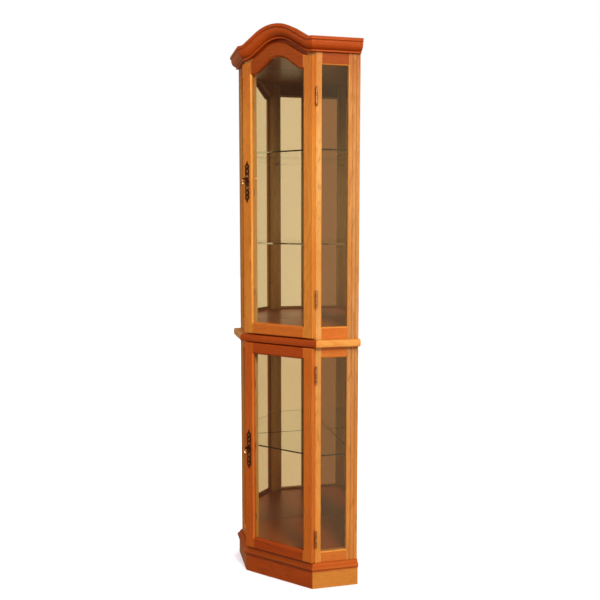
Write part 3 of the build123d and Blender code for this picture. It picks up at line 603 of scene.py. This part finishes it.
def screw_hinges():
    """Three countersunk screws in each leaf, on the case and on the doors."""
    head = screw_mesh("leaf_screw", LEAF_SCREW_R, LEAF_SCREW_RISE)
    heights = [centre.z for centre, _ in loose_boxes("hinge_pins")]
    for level, pair in (("lower", heights[:2]), ("upper", heights[2:])):
        for place, body, face, direction in (("case", "case", CASE_LEAF_FACE, FRONT_FACING),
                                             ("door", level + "_door", DOOR_LEAF_FACE, BACK_FACING)):
            spots = [(head, facing((DOOR_EDGE_X + x, CASE_FRONT_Y - face, z + up), direction))
                     for z in pair for x, up in LEAF_SCREWS]
            joined(f"{level}_{place}_leaf_screws", spots, rubbed_brass, body)


PIERCINGS = ((19.5 * MM, 3.8 * MM), (36 * MM, 1.9 * MM))      # (from the plate's middle, radius)
RIM_WIRE = 0.7 * MM
PEARL_R = 0.75 * MM
PEARL_RISE = 0.6 * MM
PEARL_LINE = 6.9 * MM            # from the plate's middle line
PEARL_PITCH = 4.4 * MM
PEARLS = 12                      # in each half of an edge
BOSS_CLEAR = 6 * MM              # no pearls nearer the pivot than this
PLATE_SCREW_R, PLATE_SCREW_RISE = 2.5 * MM, 0.9 * MM
PLATE_SCREW_ALONG = 52.5 * MM
PLATE_SCREW_SEAT = 1.2 * MM      # in front of the plate
BOSS_RING_R, BOSS_RING_WIRE = 5.6 * MM, 0.8 * MM
BOSS_RING_SEAT = 1.4 * MM        # in front of the plate
PLATE_T = 2.5 * MM
DROP_EYE = 4.2 * MM              # from the top of a drop down to its pivot
COLLARS = ((2.3 * MM, -7.0 * MM), (3.4 * MM, -9.4 * MM), (3.9 * MM, -20.5 * MM))  # (radius, from the pivot)
COLLAR_SUNK = 0.3 * MM
COLLAR_WIRE = 0.55 * MM


def trim_handles():
    """Rims round the piercings, pearls down both edges, screws, and collars on the drops."""
    rims = [(along, ring_mesh("rim", radius + RIM_WIRE, RIM_WIRE)) for along, radius in PIERCINGS]
    pearl = dome_mesh("pearl", PEARL_R, PEARL_RISE)
    head = screw_mesh("plate_screw", PLATE_SCREW_R, PLATE_SCREW_RISE)
    boss = ring_mesh("boss_ring", BOSS_RING_R, BOSS_RING_WIRE)
    collars = [(up, ring_mesh("collar", radius - COLLAR_SUNK, COLLAR_WIRE)) for radius, up in COLLARS]
    for level in ("lower", "upper"):
        (plate, size), = loose_boxes(level + "_handle_plate")
        face_y = plate.y + size.y / 2 - PLATE_T
        (drop, drop_size), = loose_boxes(level + "_drop_pull")
        pivot_z = drop.z + drop_size.z / 2 - DROP_EYE
        relief, bright = [], []
        for side in (-1, 1):
            for along, rim in rims:
                bright.append((rim, facing((plate.x, face_y, plate.z + side * along), FRONT_FACING)))
            for step in range(PEARLS):
                z = plate.z + side * (step + 0.5) * PEARL_PITCH
                if abs(z - pivot_z) > BOSS_CLEAR:
                    relief += [(pearl, facing((plate.x + hand * PEARL_LINE, face_y, z), FRONT_FACING))
                               for hand in (-1, 1)]
            spot = (plate.x, face_y - PLATE_SCREW_SEAT, plate.z + side * PLATE_SCREW_ALONG)
            bright.append((head, facing(spot, FRONT_FACING)))
        relief.append((boss, facing((plate.x, face_y - BOSS_RING_SEAT, pivot_z), FRONT_FACING)))
        joined(level + "_handle_relief", relief, dark_brass, level + "_door", 50)
        joined(level + "_handle_screws", bright, bright_brass, level + "_door")
        turned = [(collar, Matrix.Translation((drop.x, drop.y, pivot_z + up))) for up, collar in collars]
        joined(level + "_drop_collars", turned, bright_brass, level + "_drop", 60)


CLIP_SCREW_R, CLIP_SCREW_RISE, CLIP_SCREW_SUNK = 2.2 * MM, 1.0 * MM, 0.1 * MM
STRIKE_T = 2 * MM                # the strikes are no deeper than this, the retainers are
POLE_SIZE = (30 * MM, 1.6 * MM, 0.5 * MM)
POLE_EDGE = 0.15 * MM
POLE_SUNK = 0.35 * MM
POLE_UP = 2.4 * MM               # from the middle of a catch, up and down


def fit_retainers_and_catches():
    """A screw through each glass retainer, and steel poles in the catches."""
    head = screw_mesh("retainer_screw", CLIP_SCREW_R, CLIP_SCREW_RISE)
    for level in ("lower", "upper"):
        spots = []
        for centre, size in loose_boxes(level + "_door_fittings"):
            if size.y > STRIKE_T:
                back = centre.y + size.y / 2 - CLIP_SCREW_SUNK
                spots.append((head, facing((centre.x, back, centre.z), BACK_FACING)))
        joined(level + "_retainer_screws", spots, steel, level + "_door")
    pole = plate_mesh("catch_pole", *POLE_SIZE, POLE_EDGE)
    spots = [(pole, facing((centre.x, centre.y - size.y / 2 + POLE_SUNK, centre.z + up), FRONT_FACING))
             for centre, size in loose_boxes("door_catches") for up in (-POLE_UP, POLE_UP)]
    joined("catch_poles", spots, steel, "case")


PANEL_SCREW_R, PANEL_SCREW_RISE = 3.6 * MM, 0.35 * MM
PANEL_SCREWS = 8                 # down each edge
PANEL_SCREW_PITCH = 0.24
LOWEST_PANEL_SCREW = -0.84       # from the panel's middle
PANEL_SCREW_LINE = 0.15          # from the panel's middle line
PANEL_FACE = 2.8 * MM            # from the panel's middle, outwards


def screw_back_panels():
    """Screws down both edges of each back panel."""
    head = screw_mesh("panel_screw", PANEL_SCREW_R, PANEL_SCREW_RISE)
    spots = []
    for hand in (1, -1):
        centre = middle_of("back_panel_right" if hand == 1 else "back_panel_left")
        outward = Vector((hand, 1, 0)).normalized()
        across = Vector((-hand, 1, 0)).normalized()
        for step in range(PANEL_SCREWS):
            up = Vector((0, 0, LOWEST_PANEL_SCREW + PANEL_SCREW_PITCH * step))
            spots += [(head, facing(centre + across * side * PANEL_SCREW_LINE + outward * PANEL_FACE + up,
                                    outward)) for side in (-1, 1)]
    joined("back_panel_screws", spots, steel, "case")


# ---- the room ----
FLOOR_SIZE = 24.0
FLOOR_COLOUR = (0.84, 0.88, 0.95, 1)
WASH_POWER = 3.3
WASH_COLOUR = (0.93, 0.965, 1.0)
WASH_SPREAD = 70                 # degrees
# what glass, mirrors and metal show: (how far to the right, colour)
AROUND = ((0.0, (0.35, 0.215, 0.105, 1)), (0.14, (0.35, 0.215, 0.105, 1)), (0.23, (0.36, 0.148, 0.056, 1)),
          (0.60, (0.36, 0.148, 0.056, 1)), (0.74, (0.93, 0.67, 0.36, 1)))
METAL_ENDS = ("_cast", "_screws", "_relief", "_collars")


def light_only(lamp, pieces):
    """Keeps a lamp's light for a few pieces."""
    chosen = bpy.data.collections.new(lamp.name + "_receivers")
    for piece in pieces:
        chosen.objects.link(piece)
    lamp.light_linking.receiver_collection = chosen


def make_floor():
    """A white floor that takes shadows and isn't seen in glass or mirrors."""
    bm = bmesh.new()
    bmesh.ops.create_grid(bm, x_segments=1, y_segments=1, size=FLOOR_SIZE / 2)
    mesh = small_mesh("studio_floor", bm)
    s = Shader("studio_floor")
    s.set(Base_Color=FLOOR_COLOUR, Roughness=0.9, Specular_IOR_Level=0.0)
    floor = bpy.data.objects.new("studio_floor", mesh)
    mesh.materials.append(s.material)
    floor.visible_glossy = False
    floor.visible_transmission = False
    floor.visible_diffuse = False
    bpy.context.collection.objects.link(floor)
    light = bpy.data.lights.new("floor_wash", "SUN")
    light.energy = WASH_POWER
    light.color = WASH_COLOUR
    light.angle = radians(WASH_SPREAD)
    lamp = bpy.data.objects.new("floor_wash", light)
    bpy.context.collection.objects.link(lamp)
    light_only(lamp, [floor])


def make_world():
    """White to look at, and a warm room all round for what glass, mirrors and metal show."""
    world = bpy.data.worlds.new("studio")
    world.use_nodes = True
    bpy.context.scene.world = world
    tree = world.node_tree
    nodes, links = tree.nodes, tree.links
    seen = nodes["Background"]
    seen.inputs["Color"].default_value = (1, 1, 1, 1)
    around = nodes.new("ShaderNodeBackground")
    direction = nodes.new("ShaderNodeTexCoord").outputs["Generated"]
    parts = nodes.new("ShaderNodeSeparateXYZ")
    links.new(direction, parts.inputs[0])
    ramp = nodes.new("ShaderNodeValToRGB")
    stops = ramp.color_ramp.elements
    while len(stops) < len(AROUND):
        stops.new(0.5)
    for stop, (place, colour) in zip(stops, AROUND):
        stop.position, stop.color = place, colour
    links.new(parts.outputs["X"], ramp.inputs[0])
    links.new(ramp.outputs[0], around.inputs["Color"])
    mix, path = nodes.new("ShaderNodeMixShader"), nodes.new("ShaderNodeLightPath")
    links.new(path.outputs["Is Camera Ray"], mix.inputs[0])
    links.new(around.outputs[0], mix.inputs[1])
    links.new(seen.outputs[0], mix.inputs[2])
    links.new(mix.outputs[0], nodes["World Output"].inputs["Surface"])


def area_light(name, place, target, size, power, colour, mirrored):
    """A rectangular lamp aimed at a point; only a mirrored one shows in glass and lacquer."""
    light = bpy.data.lights.new(name, "AREA")
    light.shape = "RECTANGLE"
    light.size, light.size_y = size
    light.energy = power
    light.color = colour
    lamp = bpy.data.objects.new(name, light)
    lamp.location = place
    lamp.rotation_mode = "QUATERNION"
    lamp.rotation_quaternion = (Vector(target) - Vector(place)).to_track_quat("-Z", "Y")
    lamp.visible_glossy = mirrored
    lamp.visible_transmission = mirrored
    lamp.visible_camera = False
    bpy.context.collection.objects.link(lamp)
    return lamp


def make_lights():
    """A key and fills for all, a sheen on the boards, and a sparkle on the metal."""
    middle = (cad_box[0] + cad_box[1]) / 2
    area_light("key", (2.6, -1.8, 2.6), middle, (0.8, 0.9), 90, (1, 0.97, 0.93), False)
    sheen = area_light("lacquer_sheen", (2.0, -2.2, 3.9), middle, (0.6, 0.6), 26, (1, 0.88, 0.70), True)
    light_only(sheen, [piece for piece in bpy.data.objects if piece.name.endswith("_board")])
    area_light("front_fill", (-0.6, -3.4, 2.2), middle, (2.4, 2.4), 24, (1, 0.93, 0.86), False)
    area_light("left_fill", (-2.8, 0.2, 2.4), middle, (1.6, 2.0), 30, (1, 0.97, 0.95), False)

    # what the mirrors throw back into each compartment
    for level, height, tall, power in (("lower", 0.50, 0.6, 0.25), ("upper", 1.25, 0.6, 0.4)):
        area_light(level + "_mirror_glow", (0, 0.10, height), (0, -1, height), (0.16, tall), power,
                   (1, 0.9, 0.78), False)
    metal = [piece for piece in bpy.data.objects if piece.name.endswith(METAL_ENDS)]
    sparkle = area_light("metal_sparkle", (1.1, -2.6, 1.9), (0.0, -0.2, 1.2), (0.5, 0.9), 55,
                         (1, 0.96, 0.9), True)
    light_only(sparkle, metal)


def make_camera():
    camera = bpy.data.cameras.new("camera")
    camera.lens = CAMERA_LENS
    camera.sensor_width = 36.0
    camera.clip_start, camera.clip_end = 0.05, 60.0
    holder = bpy.data.objects.new("camera", camera)
    holder.location = CAMERA_AT
    holder.rotation_euler = (radians(90 - CAMERA_PITCH), 0, radians(CAMERA_YAW))
    bpy.context.collection.objects.link(holder)
    bpy.context.scene.camera = holder


def set_colour():
    bpy.context.scene.view_settings.view_transform = "Standard"
    bpy.context.scene.cycles.max_bounces = 16
    bpy.context.scene.cycles.glossy_bounces = 8
    bpy.context.scene.cycles.transmission_bounces = 16
    bpy.context.scene.cycles.transparent_max_bounces = 24


make_camera()
set_colour()
make_world()
make_floor()
dress_wood()
dress_backing()
dress_glass()

# name, hollows, rubbed high points, share left dark, roughness, seed
dark_brass = brass("dark_brass", (0.085, 0.026, 0.010, 1), (0.36, 0.17, 0.065, 1), (0.52, 0.74), 0.28)
bright_brass = brass("bright_brass", (0.45, 0.26, 0.12, 1), (0.80, 0.56, 0.30, 1), (0.30, 0.60), 0.20, 3.0)
rubbed_brass = brass("rubbed_brass", (0.26, 0.12, 0.05, 1), (0.66, 0.38, 0.19, 1), (0.38, 0.66), 0.40, 7.0)
steel = plated_steel("plated_steel")
clip_plastic = moulded_plastic("retainer_plastic", (0.30, 0.17, 0.08), 0.42)
catch_plastic = moulded_plastic("catch_plastic", (0.10, 0.05, 0.026), 0.4)
dress_metal()
screw_hinges()
trim_handles()
fit_retainers_and_catches()
screw_back_panels()
make_lights()
